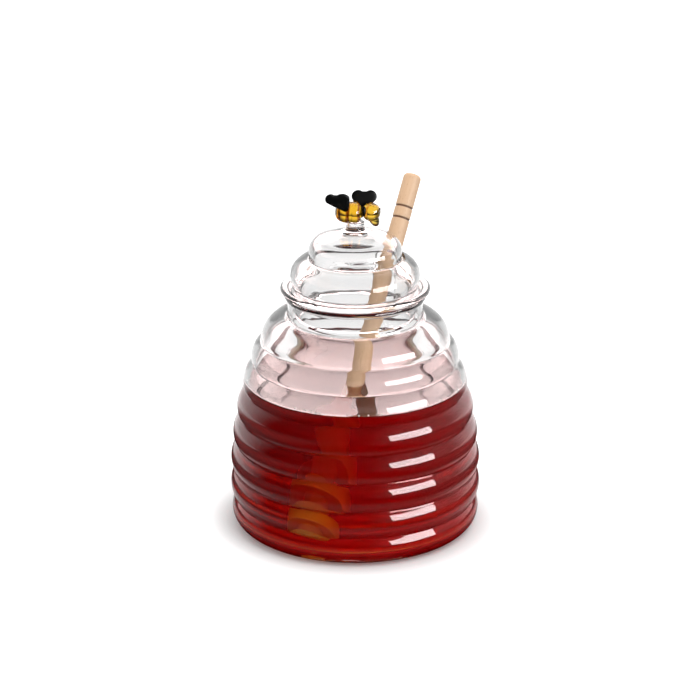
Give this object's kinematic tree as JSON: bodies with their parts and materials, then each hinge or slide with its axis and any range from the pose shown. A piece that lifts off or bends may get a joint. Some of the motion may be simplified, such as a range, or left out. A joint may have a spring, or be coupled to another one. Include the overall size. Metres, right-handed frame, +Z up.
{
  "type": "honey jar with dipper",
  "caption": "Beehive-shaped glass honey jar with a domed lid, a glass bee as its knob, honey inside and a turned wooden dipper leaning out through a notch in the lid.",
  "frame": {"origin": "centre of the jar's flat underside, on the jar's own axis", "axes": "+Z up along the jar's axis, +X to the right and along the bee's nose, -Y towards the viewer; the dipper leans out at the back right"},
  "size_m": [0.1038, 0.1038, 0.1442],
  "materials": {
    "clear_glass": "fire-polished clear borosilicate",
    "honey": "dark red clear honey, glossy liquid",
    "beech": "fine-sanded bare beech",
    "amber_glass": "lampworked amber glass",
    "black_glass": "lampworked opaque black glass"
  },
  "bodies": {
    "root": {"jar": "clear_glass", "lid": "clear_glass", "honey": "honey", "dipper": "beech", "bee_body": "amber_glass", "bee_collar": "black_glass", "wing_left": "black_glass", "wing_right": "black_glass"}
  },
  "joints": []
}
